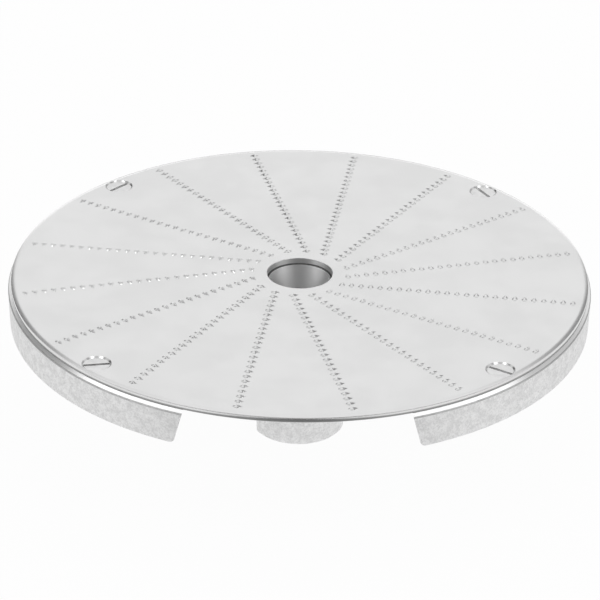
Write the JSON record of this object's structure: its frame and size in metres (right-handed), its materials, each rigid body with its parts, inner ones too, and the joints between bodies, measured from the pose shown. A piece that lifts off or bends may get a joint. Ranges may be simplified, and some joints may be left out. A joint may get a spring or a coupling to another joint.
{
  "type": "food processor disc",
  "caption": "Round grating disc for a vegetable cutter: a toothed steel plate screwed to a cast carrier with a long slotted hub and an open rim.",
  "frame": {"origin": "centre of the hub's lower end, on the axis of rotation", "axes": "+Z along the axis from the hub's end up to the grating plate; the rim's two open gaps face -Y and +Y"},
  "size_m": [0.205, 0.203, 0.0613],
  "materials": {
    "cast_alloy": "matte, as cast, with a bright turned bevel and a machined bore",
    "plate_steel": "polished satin, with bright raised teeth",
    "screw_steel": "turned, bright"
  },
  "bodies": {
    "root": {"disc_carrier": "cast_alloy", "grating_plate": "plate_steel", "plate_screws": "screw_steel"}
  },
  "joints": []
}
